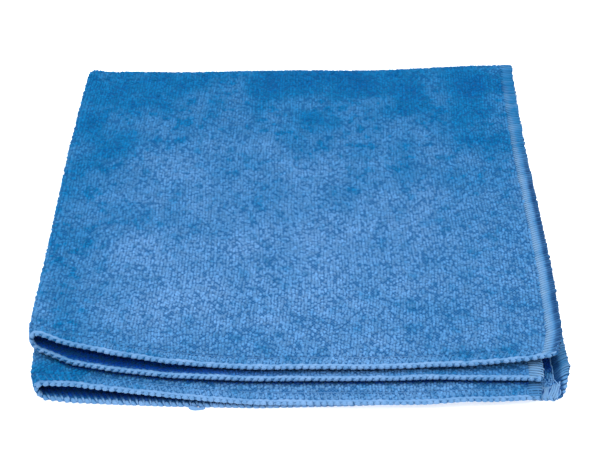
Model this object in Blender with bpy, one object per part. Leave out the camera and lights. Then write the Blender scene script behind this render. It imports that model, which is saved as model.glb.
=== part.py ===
"""Microfibre terry cloth folded in quarters, lying flat: one sheet, one closed solid.

Lengths in the tables are millimetres; the mesh is in metres, +Z up, standing on Z = 0.
The sheet is folded in half at the left, then in half again at the back, so four sheets
lie on each other: 1 touches the table, 4 is on top. Sheets 1 and 4 are the outer half of
the first fold, 2 and 3 the inner half. All the hemmed edges come to the front and right.
"""
import bpy
import numpy as np
from collections import namedtuple

MM = 0.001

# sheet
CLOTH_THICK = 2.2          # backing and pile, pressed by its own weight
HEM_THICK = 2.4            # at the stitched cord
HEM_NECK = 2.0             # at the needle line, where the thread pulls the pile down
EDGE_THICK = 1.3           # the cord rounds off to this at the very edge
HEM_CORD = 1.2             # distances in from the edge
HEM_INSIDE = 3.6
HEM_NEEDLE = 5.4
HEM_END = 7.5

# stack: distance between the middles of neighbouring sheets
PITCH_LOWER = 2.9          # 1 to 2
PITCH_BETWEEN = 3.0        # 2 to 3
PITCH_UPPER = 2.9          # 3 to 4
FOLD_SWELL = 0.6           # a fold is this much rounder than the stack beside it
FOLD_SWELL_REACH = 9.0

# the loops of the left fold stand open towards the front
LOOP_LOWER = 3.0
LOOP_UPPER = 3.3
LOOP_REACH_X = 84.0
LOOP_REACH_Y = 62.0

# free corners at the front right
TOP_CORNER_LIFT = 1.3
TOP_CORNER_REACH = 42.0
CURL_LIFT = 3.8            # the lowest sheet's margin turns up past the others
CURL_WIDTH = 7.5
CURL_LENGTH = 34.0
CURL_END = 7.0             # it lies down again at the corner itself

# mesh
FOLD_STEPS = 8
FLAT_STEPS = 12
NOMINAL = 208.0            # folded width and depth
TABLE_ROUNDS = 4
SHEETS = ("sheet1", "sheet2", "sheet3", "sheet4")

Front = namedtuple("Front", "x sheet1 sheet2 sheet3 sheet4")
FRONT_EDGES = (            # y of each sheet's front hem
    Front(-104, -95, -95.5, -80.5, -79.5),
    Front(-95, -99, -98, -84.5, -82.5),
    Front(-85, -100.5, -97.5, -89.5, -86),
    Front(-70, -101.5, -99.5, -92.5, -89.5),
    Front(-50, -102.5, -101.5, -94.5, -91.5),
    Front(-15, -103.5, -104.5, -95.5, -92.5),
    Front(20, -102.5, -105, -95.5, -92.5),
    Front(55, -100.5, -104.5, -95, -91.5),
    Front(85, -99.5, -102.5, -95.5, -89.5),
    Front(95, -100, -101, -96.5, -87.5),
    Front(104, -96, -99.5, -95, -83),
)

Ripple = namedtuple("Ripple", "x half_width lower upper")
RIPPLES = (                # small waves along the front: lift of sheet 2, and of 3 and 4
    Ripple(-30, 20, 0.0, 0.3),
    Ripple(24, 26, 0.3, 0.0),
    Ripple(70, 17, 0.9, 0.0),
    Ripple(58, 15, 0.0, 0.4),
)
RIPPLE_REACH = 15.0

Side = namedtuple("Side", "y left_lower left_upper sheet1 sheet2 sheet3 sheet4")
SIDE_EDGES = (             # x of the left folds and of each sheet's right hem
    Side(105, -96.5, -97, 99.5, 96, 95.5, 99.5),
    Side(80, -98.5, -99, 99.5, 94.5, 94, 99),
    Side(40, -100, -101, 101.5, 93.5, 93, 99),
    Side(0, -101, -102, 102.5, 93, 92.5, 100),
    Side(-40, -101.5, -103, 103, 92.5, 92, 101),
    Side(-75, -102, -103, 102.5, 92, 91.5, 100),
    Side(-85, -101.5, -101.5, 102.5, 91.5, 91.5, 97.5),
    Side(-90, -101.5, -101, 101.5, 91.5, 91.5, 95.5),
    Side(-95, -100, -100, 100, 91, 91, 94.5),
    Side(-101, -97.5, -98, 96.5, 90, 90.5, 93.5),
)

Back = namedtuple("Back", "x y")
BACK_FOLD = (              # y of the outside of the back fold
    Back(-104, 100), Back(-95, 101), Back(-50, 100), Back(-25, 101), Back(35, 101.5),
    Back(60, 103), Back(80, 104.5), Back(104, 105),
)

CLOTH_COLOUR = (0.062, 0.245, 0.535, 1.0)
CLOTH_ROUGHNESS = 0.95


def column(table, key, name, at):
    """Read one named column of a table at the given places, in straight steps."""
    keys = np.array([getattr(row, key) for row in table], dtype=float)
    values = np.array([getattr(row, name) for row in table], dtype=float)
    order = np.argsort(keys)
    return np.interp(at, keys[order], values[order])


def ease(t):
    """Smooth step from 0 to 1 with flat ends."""
    t = np.clip(t, 0.0, 1.0)
    return t * t * (3.0 - 2.0 * t)


def stations():
    """Rows across a fold: its angle, the share of the flat run past it, and which half.

    The angle runs from -90 degrees (one half) to +90 (the other); flat rows keep the
    end angle. Rows crowd towards the fold and sit on each step of the hem.
    """
    swell = np.array([0.35, 0.8, 1.0]) * FOLD_SWELL_REACH / NOMINAL
    hem = 1.0 - np.array([HEM_END, HEM_NEEDLE, HEM_INSIDE, HEM_CORD, 0.0]) / NOMINAL
    middle = np.linspace(swell[-1], hem[0], FLAT_STEPS + 1)[1:-1]
    flat = np.concatenate([swell, middle, hem])
    angle = np.linspace(-0.5, 0.5, FOLD_STEPS + 1) * np.pi
    angles = np.concatenate([np.full(flat.size, angle[0]), angle, np.full(flat.size, angle[-1])])
    shares = np.concatenate([flat[::-1], np.zeros(angle.size), flat])
    return angles, shares


def pick(inner_outer, low_high, sheet1, sheet2, sheet3, sheet4):
    """Blend four sheets' values by the sines of the two fold angles."""
    outer, top = 0.5 + 0.5 * inner_outer, 0.5 + 0.5 * low_high
    lower = sheet2 + (sheet1 - sheet2) * outer
    upper = sheet3 + (sheet4 - sheet3) * outer
    return lower + (upper - lower) * top


def thickness(share_x, share_y):
    """Sheet thickness from the distance to the nearer free edge."""
    inward = np.minimum(1.0 - share_x, 1.0 - share_y) * NOMINAL
    return np.interp(inward, (0.0, HEM_CORD, HEM_INSIDE, HEM_NEEDLE, HEM_END),
                     (EDGE_THICK, HEM_THICK, HEM_THICK, HEM_NECK, CLOTH_THICK))


def heights(run_x, run_y, side, level):
    """Heights of the middle of the sheet, and of the stack's four levels there."""
    across, forward = run_x * NOMINAL, run_y * NOMINAL
    from_right, from_front = NOMINAL - across, NOMINAL - forward
    loop = ease(1.0 - across / LOOP_REACH_X) * ease(1.0 - from_front / LOOP_REACH_Y)
    swell = FOLD_SWELL * ease(1.0 - across / FOLD_SWELL_REACH)
    swell_back = FOLD_SWELL * ease(1.0 - forward / FOLD_SWELL_REACH)
    curl = CURL_LIFT * ease(1.0 - from_right / CURL_WIDTH) \
        * ease(1.0 - from_front / CURL_LENGTH) * ease(from_front / CURL_END)
    corner = TOP_CORNER_LIFT * ease(1.0 - from_right / TOP_CORNER_REACH) \
        * ease(1.0 - from_front / TOP_CORNER_REACH)
    near = ease(1.0 - from_front / RIPPLE_REACH)
    wave = {name: sum(getattr(row, name) * ease(1.0 - abs(across - 0.5 * NOMINAL - row.x)
                                                / row.half_width) for row in RIPPLES)
            for name in ("lower", "upper")}
    z1 = 0.5 * thickness(run_x, run_y) + curl
    z2 = 0.5 * CLOTH_THICK + PITCH_LOWER + swell + LOOP_LOWER * loop
    z3 = z2 + PITCH_BETWEEN + swell_back + near * wave["upper"]
    z4 = z3 + PITCH_UPPER + swell + LOOP_UPPER * loop + corner
    z2 = z2 + near * wave["lower"]
    lower = 0.5 * (z1 + z2) - 0.5 * side * (z2 - z1)
    upper = 0.5 * (z3 + z4) + 0.5 * side * (z4 - z3)
    z = 0.5 * (lower + upper) + 0.5 * level * (upper - lower)
    return z, (z1, z2, z3, z4), 0.5 * (upper - lower)


def middle_surface():
    """Middle of the folded sheet, as a grid of points, and its thickness there."""
    angles, shares = stations()
    phi, theta = np.meshgrid(angles, angles, indexing="ij")
    run_x, run_y = np.meshgrid(shares, shares, indexing="ij")
    side, level = np.sin(phi), np.sin(theta)
    z, (z1, z2, z3, z4), radius = heights(run_x, run_y, side, level)
    half_gap = 0.5 * pick(1.0, level, z2 - z1, 0.0, 0.0, z4 - z3)

    # the tables are read where the point lies, which settles in a few rounds
    x, y = (run_x - 0.5) * NOMINAL, (0.5 - run_y) * NOMINAL
    for _ in range(TABLE_ROUNDS):
        left = pick(1.0, level, column(SIDE_EDGES, "y", "left_lower", y), 0.0, 0.0,
                    column(SIDE_EDGES, "y", "left_upper", y)) + 0.5 * CLOTH_THICK
        right = pick(side, level, *(column(SIDE_EDGES, "y", name, y) for name in SHEETS))
        back = column(BACK_FOLD, "x", "y", x) - 0.5 * (CLOTH_THICK + z4 - z1)
        front = pick(side, level, *(column(FRONT_EDGES, "x", name, x) for name in SHEETS))
        x = left + half_gap * (1.0 - np.cos(phi)) + run_x * (right - left - half_gap)
        y = back + radius * np.cos(theta) - run_y * (back - front)
    return np.stack([x, y, z], axis=-1), thickness(run_x, run_y)


def unit_normals(points):
    """Unit normals of the grid, from the differences along its rows and columns."""
    along = np.gradient(points, axis=0)
    across = np.gradient(points, axis=1)
    normals = np.cross(along, across)
    return normals / np.linalg.norm(normals, axis=-1, keepdims=True)


def build_sheet(name):
    """Thicken the folded surface both ways and close it round its four edges."""
    points, thick = middle_surface()
    shift = unit_normals(points) * (0.5 * thick)[..., None]
    rows, cols = thick.shape
    count = rows * cols
    verts = np.concatenate([(points + shift).reshape(-1, 3), (points - shift).reshape(-1, 3)])
    grid = np.arange(count).reshape(rows, cols)
    cells = np.stack([grid[:-1, :-1], grid[1:, :-1], grid[1:, 1:], grid[:-1, 1:]], -1)
    cells = cells.reshape(-1, 4)
    rim = np.concatenate([grid[:, 0], grid[-1, 1:], grid[-2::-1, -1], grid[0, -2:0:-1]])
    after = np.roll(rim, -1)
    walls = np.stack([after, rim, rim + count, after + count], -1)
    faces = np.concatenate([cells, cells[:, ::-1] + count, walls])
    mesh = bpy.data.meshes.new(name)
    mesh.from_pydata((verts * MM).tolist(), [], faces.tolist())
    mesh.update()
    sheet = bpy.data.objects.new(name, mesh)
    bpy.context.scene.collection.objects.link(sheet)
    for face in mesh.polygons:
        face.use_smooth = True
    return sheet


def build_material(name, colour, roughness):
    """One Principled material."""
    material = bpy.data.materials.new(name)
    material.use_nodes = True
    shader = material.node_tree.nodes["Principled BSDF"]
    shader.inputs["Base Color"].default_value = colour
    shader.inputs["Roughness"].default_value = roughness
    shader.inputs["Metallic"].default_value = 0.0
    return material


def main():
    for old in list(bpy.data.objects):
        bpy.data.objects.remove(old, do_unlink=True)
    cloth = build_sheet("cloth")
    cloth.data.materials.append(build_material("terry_blue", CLOTH_COLOUR, CLOTH_ROUGHNESS))


main()
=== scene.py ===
"""Looks for a microfibre terry cloth folded in quarters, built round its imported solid.

The cloth is one square sheet. Flat places on it are (u, v) in millimetres from its centre:
u crosses the first fold (left), v crosses the second fold (back). u > 0 is the outer half of
the first fold, v > 0 the upper half of the second, so u, v > 0 is the sheet on top.
"""
import logging
from dataclasses import dataclass
from enum import Enum
from typing import NamedTuple, Sequence

import bpy
import numpy as np
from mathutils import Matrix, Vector


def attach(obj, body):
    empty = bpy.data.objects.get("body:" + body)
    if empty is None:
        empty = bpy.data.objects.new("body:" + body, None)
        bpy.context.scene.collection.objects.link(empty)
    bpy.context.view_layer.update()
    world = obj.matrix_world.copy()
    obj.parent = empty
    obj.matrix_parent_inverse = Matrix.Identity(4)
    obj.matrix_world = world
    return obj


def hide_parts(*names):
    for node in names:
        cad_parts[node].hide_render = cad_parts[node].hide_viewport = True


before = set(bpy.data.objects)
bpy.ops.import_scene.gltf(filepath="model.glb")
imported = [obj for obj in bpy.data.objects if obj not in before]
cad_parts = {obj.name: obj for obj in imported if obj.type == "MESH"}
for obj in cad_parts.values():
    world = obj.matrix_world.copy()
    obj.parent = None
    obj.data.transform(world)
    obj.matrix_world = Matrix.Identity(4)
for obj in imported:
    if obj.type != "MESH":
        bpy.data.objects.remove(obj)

MM = 0.001
MAP_NAME = "OFBake"
log = logging.getLogger("cloth")

Socket = bpy.types.NodeSocket
Tree = bpy.types.NodeTree
Colour = tuple[float, float, float]
Value = float | Colour | Socket                        # what a shader input can be given
Strand = tuple[np.ndarray, np.ndarray, np.ndarray]     # places, faces, paleness


class Front(NamedTuple):
    """Where each sheet's front hem lies (y) at one x."""

    x: float
    sheet1: float
    sheet2: float
    sheet3: float
    sheet4: float


FRONT_EDGES = (
    Front(-104, -95, -95.5, -80.5, -79.5),
    Front(-95, -99, -98, -84.5, -82.5),
    Front(-85, -100.5, -97.5, -89.5, -86),
    Front(-70, -101.5, -99.5, -92.5, -89.5),
    Front(-50, -102.5, -101.5, -94.5, -91.5),
    Front(-15, -103.5, -104.5, -95.5, -92.5),
    Front(20, -102.5, -105, -95.5, -92.5),
    Front(55, -100.5, -104.5, -95, -91.5),
    Front(85, -99.5, -102.5, -95.5, -89.5),
    Front(95, -100, -101, -96.5, -87.5),
    Front(104, -96, -99.5, -95, -83),
)


class Side(NamedTuple):
    """Where the two left folds and each sheet's right hem lie (x) at one y."""

    y: float
    left_lower: float
    left_upper: float
    sheet1: float
    sheet2: float
    sheet3: float
    sheet4: float


SIDE_EDGES = (
    Side(105, -96.5, -97, 99.5, 96, 95.5, 99.5),
    Side(80, -98.5, -99, 99.5, 94.5, 94, 99),
    Side(40, -100, -101, 101.5, 93.5, 93, 99),
    Side(0, -101, -102, 102.5, 93, 92.5, 100),
    Side(-40, -101.5, -103, 103, 92.5, 92, 101),
    Side(-75, -102, -103, 102.5, 92, 91.5, 100),
    Side(-85, -101.5, -101.5, 102.5, 91.5, 91.5, 97.5),
    Side(-90, -101.5, -101, 101.5, 91.5, 91.5, 95.5),
    Side(-95, -100, -100, 100, 91, 91, 94.5),
    Side(-101, -97.5, -98, 96.5, 90, 90.5, 93.5),
)


class Back(NamedTuple):
    """Where the outside of the back fold lies (y) at one x."""

    x: float
    y: float


BACK_FOLD = (
    Back(-104, 100), Back(-95, 101), Back(-50, 100), Back(-25, 101), Back(35, 101.5),
    Back(60, 103), Back(80, 104.5), Back(104, 105),
)


class Ripple(NamedTuple):
    """A small wave at the front: how far it lifts sheet 2 (lower), and 3 and 4 (upper)."""

    x: float
    half_width: float
    lower: float
    upper: float


RIPPLES = (
    Ripple(-30, 20, 0.0, 0.3),
    Ripple(24, 26, 0.3, 0.0),
    Ripple(70, 17, 0.9, 0.0),
    Ripple(58, 15, 0.0, 0.4),
)


class Swell(NamedTuple):
    """A slow wave of the upper sheets: turns in a metre each way, its start and height."""

    along_x: float
    along_y: float
    start: float
    height: float


SWELLS = (
    Swell(11.0, 4.0, 0.13, 0.16),
    Swell(-5.0, 14.0, 0.58, 0.14),
    Swell(19.0, 9.0, 0.31, 0.09),
    Swell(7.0, -23.0, 0.77, 0.07),
)


class Face(Enum):
    """The two faces of the cloth, as the sign of the offset from its middle."""

    OUTER = 1.0            # on top of the stack, under it, and round the folds
    INNER = -1.0           # closed inside the first fold


def ease(t: np.ndarray) -> np.ndarray:
    """Smooth step 3t^2 - 2t^3 from 0 to 1, held flat outside."""
    t = np.clip(t, 0.0, 1.0)
    return t * t * (3.0 - 2.0 * t)


def column(table: Sequence, key: str, name: str, at: np.ndarray) -> np.ndarray:
    """Read one named column of a table along another.

    Args:
        table: rows with named fields.
        key: the field that is read along.
        name: the field that is read.
        at: where to read it.

    Returns:
        The column's values there, straight between rows and held at the ends.
    """
    keys = np.array([getattr(row, key) for row in table], dtype=float)
    values = np.array([getattr(row, name) for row in table], dtype=float)
    order = np.argsort(keys)
    return np.interp(at, keys[order], values[order])


def make_mesh(name: str, verts: np.ndarray, faces: np.ndarray,
              values: dict[str, np.ndarray] | None = None,
              chart: np.ndarray | None = None) -> bpy.types.Object:
    """Put arrays into a smooth mesh object at the origin.

    Args:
        name: the object's name.
        verts: (n, 3) places in millimetres.
        faces: (m, 4) corners of four-sided faces; a triangle repeats its last corner as -1.
        values: named numbers per vertex, kept as attributes.
        chart: (m, 4, 2) places of the corners on the flat map, from 0 to 1.

    Returns:
        The new object.
    """
    mesh = bpy.data.meshes.new(name)
    flat = faces.ravel()
    keep = flat >= 0
    sizes = (faces >= 0).sum(axis=1)
    mesh.vertices.add(len(verts))
    mesh.vertices.foreach_set("co", (verts * MM).astype(np.float32).ravel())
    mesh.loops.add(int(keep.sum()))
    mesh.loops.foreach_set("vertex_index", flat[keep].astype(np.int32))
    mesh.polygons.add(len(faces))
    starts = np.concatenate([[0], np.cumsum(sizes)[:-1]])
    mesh.polygons.foreach_set("loop_start", starts.astype(np.int32))
    for key, numbers in (values or {}).items():
        layer = mesh.attributes.new(key, "FLOAT", "POINT")
        layer.data.foreach_set("value", numbers.astype(np.float32).ravel())
    mesh.update(calc_edges=True)
    if chart is not None:
        layer = mesh.uv_layers.new(name=MAP_NAME)
        layer.data.foreach_set("uv", chart.reshape(-1, 2)[keep].astype(np.float32).ravel())
    mesh.validate()
    mesh.shade_smooth()
    piece = bpy.data.objects.new(name, mesh)
    bpy.context.scene.collection.objects.link(piece)
    return piece


@dataclass
class FoldedSheet:
    """The square cloth, folded in half at the left and again at the back.

    The fold is a map from flat (u, v) to the middle of the sheet. Each fold is a half circle
    of the distance between the sheets that it joins, and the runs past it are drawn out to
    the hem lines of the tables.
    """

    half: float = 200.0            # half the flat cloth
    width: float = 208.0           # folded size that shares of a run are counted over
    full_thick: float = 2.2        # backing and pile together
    pitch_lower: float = 2.9       # between the middles of sheets 1 and 2
    pitch_between: float = 3.0     # 2 and 3
    pitch_upper: float = 2.9       # 3 and 4
    swell: float = 0.6             # a fold is this much rounder than the stack beside it
    swell_reach: float = 9.0
    loop_lower: float = 3.0        # how far the loops of the left fold stand open at the front
    loop_upper: float = 3.3
    loop_reach_x: float = 84.0
    loop_reach_y: float = 62.0
    corner_lift: float = 1.3       # free corner of the top sheet
    corner_reach: float = 42.0
    curl_lift: float = 3.8         # the lowest sheet's margin turns up past the others
    curl_width: float = 7.5
    curl_length: float = 34.0
    curl_end: float = 7.0
    ripple_reach: float = 15.0
    slow_third: float = 0.4        # share of the slow waves that sheet 3 takes
    slow_top: float = 0.6          # and what sheet 4 adds to it
    slow_reach: float = 30.0       # they start this far from the left fold
    back_out: float = 1.1          # the fluffy back fold stands this far past its line
    gap_shade_reach: float = 2.4        # painted shade between the sheets is full this far in
    gape_share: float = 0.85       # and less where the upper fold gapes to the right
    gape_start: float = 55.0
    gape_length: float = 70.0
    table_rounds: int = 4          # a table's key depends on its own value, so it is read again

    def opening(self, run_y: np.ndarray) -> np.ndarray:
        """How open the left loops are, from 0 at the back to 1 at the front."""
        return ease(1.0 - (1.0 - run_y) * self.width / self.loop_reach_y)

    def angles(self, u: np.ndarray, v: np.ndarray) -> tuple[np.ndarray, ...]:
        """Turn flat places into fold angles and shares of the flat runs.

        A place within a quarter circle's length of a fold line turns by distance / radius;
        past that the angle stays at 90 degrees and the rest is a share of the run.

        Args:
            u: flat places across the first fold.
            v: flat places across the second fold.

        Returns:
            First fold's angle and run share, second fold's angle and run share.
        """
        lower = 0.5 * (self.pitch_lower + self.swell)
        side = np.sin(np.clip(u / (2.0 * lower), -0.5, 0.5) * np.pi)
        nest = 0.5 * (self.pitch_between + self.swell)
        outer = nest + 0.5 * (self.pitch_lower + self.pitch_upper) + self.swell
        quarter = 0.5 * np.pi * (nest + (outer - nest) * (0.5 + 0.5 * side))
        theta = np.clip(v / quarter, -1.0, 1.0) * 0.5 * np.pi
        run_y = np.maximum(np.abs(v) - quarter, 0.0) / (self.half - quarter)
        top = 0.5 + 0.5 * np.sin(theta)
        spread = self.loop_lower + (self.loop_upper - self.loop_lower) * top
        quarter = 0.5 * np.pi * (lower + 0.5 * spread * self.opening(run_y))
        phi = np.clip(u / quarter, -1.0, 1.0) * 0.5 * np.pi
        run_x = np.maximum(np.abs(u) - quarter, 0.0) / (self.half - quarter)
        return phi, run_x, theta, run_y

    def levels(self, run_x: np.ndarray, run_y: np.ndarray) -> tuple[np.ndarray, ...]:
        """Heights of the middles of the four sheets, from the lowest up.

        Args:
            run_x: shares of the runs from the left fold to the right hems.
            run_y: shares of the runs from the back fold to the front hems.

        Returns:
            Four arrays of heights in millimetres.
        """
        across, forward = run_x * self.width, run_y * self.width
        from_right, from_front = self.width - across, self.width - forward
        loop = ease(1.0 - across / self.loop_reach_x) * self.opening(run_y)
        swell = self.swell * ease(1.0 - across / self.swell_reach)
        swell_back = self.swell * ease(1.0 - forward / self.swell_reach)
        curl = self.curl_lift * ease(1.0 - from_right / self.curl_width) \
            * ease(1.0 - from_front / self.curl_length) * ease(from_front / self.curl_end)
        corner = self.corner_lift * ease(1.0 - from_right / self.corner_reach) \
            * ease(1.0 - from_front / self.corner_reach)
        near = ease(1.0 - from_front / self.ripple_reach)
        x = across - 0.5 * self.width
        lower, upper = (sum(getattr(row, name) * ease(1.0 - np.abs(x - row.x) / row.half_width)
                            for row in RIPPLES) * near for name in ("lower", "upper"))
        slow = sum(row.height * (1.0 + np.sin(2.0 * np.pi * (
            row.start + (row.along_x * across + row.along_y * forward) * MM)))
            for row in SWELLS) * ease(across / self.slow_reach)
        z1 = 0.5 * self.full_thick + curl
        z2 = 0.5 * self.full_thick + self.pitch_lower + swell + self.loop_lower * loop
        z3 = z2 + self.pitch_between + swell_back + upper + self.slow_third * slow
        z4 = z3 + self.pitch_upper + swell + self.loop_upper * loop + corner \
            + self.slow_top * slow
        return z1, z2 + lower, z3, z4

    def middle(self, u: np.ndarray, v: np.ndarray) -> np.ndarray:
        """Place points of the middle of the sheet.

        Each of the four sheets has its own height, hem line and side line; a point blends
        them by the sines of its two fold angles, so the blend turns the folds as circles.

        Args:
            u: flat places across the first fold.
            v: flat places across the second fold.

        Returns:
            (..., 3) places in millimetres.
        """
        phi, run_x, theta, run_y = self.angles(u, v)
        outer, top = 0.5 + 0.5 * np.sin(phi), 0.5 + 0.5 * np.sin(theta)
        z1, z2, z3, z4 = self.levels(run_x, run_y)
        low = z2 + (z1 - z2) * outer
        high = z3 + (z4 - z3) * outer
        z = low + (high - low) * top
        radius = 0.5 * (high - low)
        half_gap = 0.5 * ((z2 - z1) + ((z4 - z3) - (z2 - z1)) * top)
        x, y = (run_x - 0.5) * self.width, (0.5 - run_y) * self.width
        for _ in range(self.table_rounds):
            left_low, left_high = (column(SIDE_EDGES, "y", key, y)
                                   for key in ("left_lower", "left_upper"))
            left = left_low + (left_high - left_low) * top + 0.5 * self.full_thick
            right = self.blended(SIDE_EDGES, "y", y, outer, top)
            back = column(BACK_FOLD, "x", "y", x) + self.back_out * (1.0 + 0.4 * ease(x / 60.0)) \
                - 0.5 * (self.full_thick + z4 - z1)
            front = self.blended(FRONT_EDGES, "x", x, outer, top)
            x = left + half_gap * (1.0 - np.cos(phi)) + run_x * (right - left - half_gap)
            y = back + radius * np.cos(theta) - run_y * (back - front)
        return np.stack([x, y, z], axis=-1)

    @staticmethod
    def blended(table: Sequence, key: str, at: np.ndarray, outer: np.ndarray,
                top: np.ndarray) -> np.ndarray:
        """Read a table's four sheet columns and blend them by half and level.

        Args:
            table: rows with sheet1 to sheet4.
            key: the field read along.
            at: where to read.
            outer: 0 on the inner half, 1 on the outer.
            top: 0 on the lower half, 1 on the upper.

        Returns:
            The blended values.
        """
        one, two, three, four = (column(table, key, "sheet%d" % n, at) for n in (1, 2, 3, 4))
        low = two + (one - two) * outer
        high = three + (four - three) * outer
        return low + (high - low) * top

    def frame_at(self, u: np.ndarray, v: np.ndarray, step: float = 0.35) -> tuple:
        """Middle points with their unit normals (outer face) and directions along u and v.

        Args:
            u: flat places across the first fold.
            v: flat places across the second fold.
            step: reach of the differences that give the directions.

        Returns:
            Points, normals, directions along u, directions along v.
        """
        along_u = self.middle(u + step, v) - self.middle(u - step, v)
        along_v = self.middle(u, v + step) - self.middle(u, v - step)
        normal = np.cross(along_v, along_u)
        unit = [w / np.maximum(np.linalg.norm(w, axis=-1, keepdims=True), 1e-9)
                for w in (normal, along_u, along_v)]
        return self.middle(u, v), *unit

    def inward(self, u: np.ndarray, v: np.ndarray) -> np.ndarray:
        """Distance in from the nearest edge of the flat cloth."""
        return self.half - np.maximum(np.abs(u), np.abs(v))

    def side_hem(self, v: np.ndarray) -> np.ndarray:
        """Width of the lowest sheet's side hem, which narrows where its curl runs out."""
        return np.interp(-v, (-100.0, 150.0, 184.0, 192.0, 198.5), (5.8, 5.6, 6.2, 4.8, 1.3))

    def shut(self, u: np.ndarray, v: np.ndarray) -> np.ndarray:
        """Painted shade on an inner face, from none at its hem to full a few millimetres in.

        Args:
            u: flat places across the first fold.
            v: flat places across the second fold.

        Returns:
            The share: a smooth step of the distance from the hem, less where the fold
            gapes towards the right.
        """
        gape = self.gape_share * ease((-u - self.gape_start) / self.gape_length) * (v > 0.0)
        return ease((self.inward(u, v) - 0.5) / self.gap_shade_reach) * (1.0 - gape)

    def rows(self, count: int) -> np.ndarray:
        """Flat places for a grid: close at the fold, even on the runs, close at the hem.

        Args:
            count: how many places each even run has.

        Returns:
            The places, from one edge of the cloth to the other.
        """
        fold = np.linspace(0.0, 12.0, 15)
        hem = self.half - np.array([9.0, 7.0, 5.4, 3.6, 2.4, 1.2, 0.5, 0.0])
        run = np.linspace(fold[-1], hem[0], count + 2)[1:-1]
        one = np.concatenate([fold, run, hem])
        return np.concatenate([-one[:0:-1], one])


@dataclass
class Backing:
    """The knitted backing under the pile: a closed thin sheet on the folded surface."""

    sheet: FoldedSheet
    thick: float = 1.15
    edge_thick: float = 0.9
    run_rows: int = 56

    def half_thickness(self, u: np.ndarray, v: np.ndarray) -> np.ndarray:
        """Half the thickness: full at the hem, thinner just inside it and at the edge.

        Args:
            u: flat places across the first fold.
            v: flat places across the second fold.

        Returns:
            Distances from the middle of the sheet to its face.
        """
        return 0.5 * np.interp(self.sheet.inward(u, v), (0.0, 0.8, 3.6, 5.4, 8.0),
                               (self.edge_thick, self.thick, self.thick,
                                0.7 * self.thick, self.thick))

    def build(self) -> bpy.types.Object:
        """Thicken the folded surface both ways and close it round its edges.

        Returns:
            The closed sheet, with flat places kept as the attributes flat_u and flat_v.
        """
        rows = self.sheet.rows(self.run_rows)
        u, v = np.meshgrid(rows, rows, indexing="ij")
        points, normal, _, _ = self.sheet.frame_at(u, v)
        shift = normal * self.half_thickness(u, v)[..., None]
        n, count = len(rows), len(rows) ** 2
        verts = np.concatenate([(points + shift).reshape(-1, 3), (points - shift).reshape(-1, 3)])
        grid = np.arange(count).reshape(n, n)
        cells = np.stack([grid[:-1, :-1], grid[:-1, 1:], grid[1:, 1:], grid[1:, :-1]], -1)
        cells = cells.reshape(-1, 4)
        rim = np.concatenate([grid[:, 0], grid[-1, 1:], grid[-2::-1, -1], grid[0, -2:0:-1]])
        after = np.roll(rim, -1)
        walls = np.stack([rim, after, after + count, rim + count], -1)
        faces = np.concatenate([cells, cells[:, ::-1] + count, walls])
        # painted shade between the folded sheets: none on the outer face, growing in from the hem
        # on the inner face
        shut = self.sheet.shut(u, v).ravel()
        values = {"flat_u": np.tile(u.ravel(), 2), "flat_v": np.tile(v.ravel(), 2),
                  "shut": np.concatenate([0.0 * shut, shut])}
        share = 0.5 + 0.5 * np.stack([u.ravel(), v.ravel()], -1) / self.sheet.half
        outer = 0.005 + share * (0.49, 0.95)
        inner = outer + (0.5, 0.0)
        step = np.linspace(0.005, 0.995, len(rim) + 1)
        strip = np.stack([step[:-1], step[1:], step[1:], step[:-1]], -1)
        band = np.broadcast_to((0.970, 0.970, 0.995, 0.995), strip.shape)
        chart = np.concatenate([outer[cells], inner[cells[:, ::-1]],
                                np.stack([strip, band], -1)])
        return make_mesh("backing", verts, faces, values, chart)

    def make(self, wardrobe: "Wardrobe") -> bpy.types.Object:
        """Build the sheet and dress it as knitted ground."""
        return dress(self.build(), wardrobe.ground)


class Patch(NamedTuple):
    """A flat rectangle of pile: its face, the spacing of its loops and their fineness."""

    name: str
    face: Face
    u_from: float
    u_to: float
    v_from: float
    v_to: float
    pitch_u: float
    pitch_v: float
    sides: int
    rings: int


PILE_PATCHES = (
    Patch("pile_top_a", Face.OUTER, 4.0, 98.0, 9.0, 198.0, 1.20, 1.46, 5, 2),
    Patch("pile_top_b", Face.OUTER, 98.0, 195.4, 9.0, 198.0, 1.20, 1.46, 5, 2),
    Patch("pile_left_upper", Face.OUTER, -12.0, 4.0, -9.0, 198.0, 1.20, 1.46, 5, 2),
    Patch("pile_left_lower", Face.OUTER, -12.0, 6.0, -198.0, -9.0, 1.20, 1.46, 5, 2),
    Patch("pile_back", Face.OUTER, 4.0, 194.8, -9.0, 9.0, 1.20, 1.46, 5, 2),
    Patch("pile_second_front", Face.OUTER, -194.8, -12.0, -198.0, -174.0, 1.20, 1.46, 5, 2),
    Patch("pile_third_front", Face.INNER, -194.8, -3.0, 186.0, 198.0, 1.20, 1.46, 5, 2),
    Patch("pile_first_front", Face.INNER, -3.0, 178.0, -198.0, -184.0, 1.20, 1.46, 5, 2),
    Patch("pile_first_side", Face.INNER, 178.0, 198.4, -198.0, -150.0, 0.90, 1.10, 5, 2),
    Patch("pile_fourth_under", Face.INNER, -3.0, 194.8, 188.0, 198.0, 1.6, 1.9, 4, 1),
    Patch("pile_second_under", Face.INNER, -194.8, -3.0, -198.0, -188.0, 1.6, 1.9, 4, 1),
    Patch("pile_underside", Face.OUTER, 6.0, 194.8, -198.0, -9.0, 1.8, 2.1, 4, 1),
)


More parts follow.
